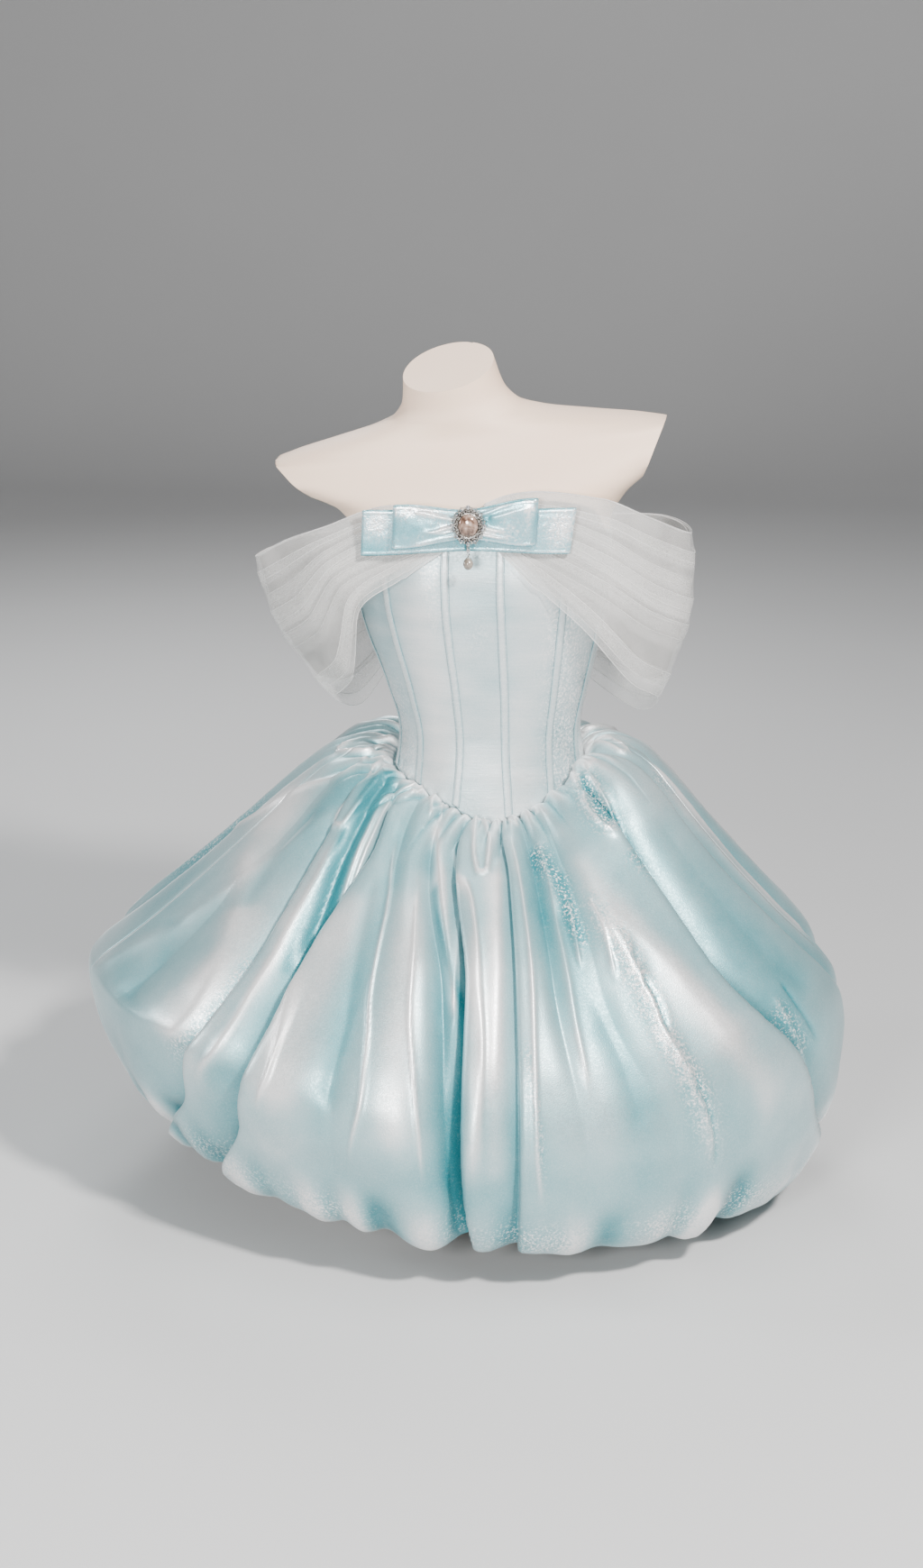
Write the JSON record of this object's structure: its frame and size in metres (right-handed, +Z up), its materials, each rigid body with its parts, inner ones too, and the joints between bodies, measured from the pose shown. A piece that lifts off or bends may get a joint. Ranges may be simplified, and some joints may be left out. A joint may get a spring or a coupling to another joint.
{
  "type": "corset mini dress on a limbless dress form",
  "caption": "Strapless boned corset mini dress with a gathered bubble skirt, off-shoulder tulle drapes, satin bow and oval brooch, on a limbless dress form.",
  "frame": {"origin": "middle of the dress form's flat base, on the surface it stands on", "axes": "+Z up, the dress's front faces -Y, +X is the right-hand side seen from the front"},
  "size_m": [0.939, 0.819, 1.0509],
  "materials": {
    "form": "warm cream, matt",
    "satin": "ice-blue satin with a pale sheen",
    "tulle": "fine white tulle, see-through",
    "silver": "antiqued silver",
    "stone": "polished rose-champagne cabochon",
    "crystal": "clear cut crystal",
    "pearl": "imitation pearl"
  },
  "bodies": {
    "dress": {"torso_form": "form", "bodice_centre_front": "satin", "bodice_front_left": "satin", "bodice_front_right": "satin", "bodice_side_front_left": "satin", "bodice_side_front_right": "satin", "bodice_side_back_left": "satin", "bodice_side_back_right": "satin", "bodice_back_left": "satin", "bodice_back_right": "satin", "boning_front_left": "satin", "boning_front_right": "satin", "boning_side_front_left": "satin", "boning_side_front_right": "satin", "boning_side_left": "satin", "boning_side_right": "satin", "boning_side_back_left": "satin", "boning_side_back_right": "satin", "back_zip_strip": "satin", "zip_slider": "silver", "skirt_front": "satin", "skirt_back_left": "satin", "skirt_back_right": "satin", "drape_left": "tulle", "drape_right": "tulle", "bow_under_left": "satin", "bow_under_right": "satin", "bow_upper_left": "satin", "bow_upper_right": "satin", "bow_knot": "satin", "brooch_frame": "silver", "brooch_stone": "stone"},
    "link": {"drop_link": "crystal"},
    "pearl": {"drop_pearl": "pearl"},
    "pull": {"zip_pull": "silver"}
  },
  "joints": [
    {"name": "link_swing", "type": "hinge", "parent": "dress", "child": "link", "pos_m": [0.0235, -0.138, 0.8387], "axis": [0, 1, 0], "range_deg": [-35, 35]},
    {"name": "pearl_swing", "type": "hinge", "parent": "link", "child": "pearl", "pos_m": [0.0235, -0.138, 0.8287], "axis": [-1, 0, 0], "range_deg": [-12, 70]},
    {"name": "pull_lift", "type": "hinge", "parent": "dress", "child": "pull", "pos_m": [0.02509, 0.10948, 0.79], "axis": [1, 0, 0], "range_deg": [0, 150]}
  ]
}
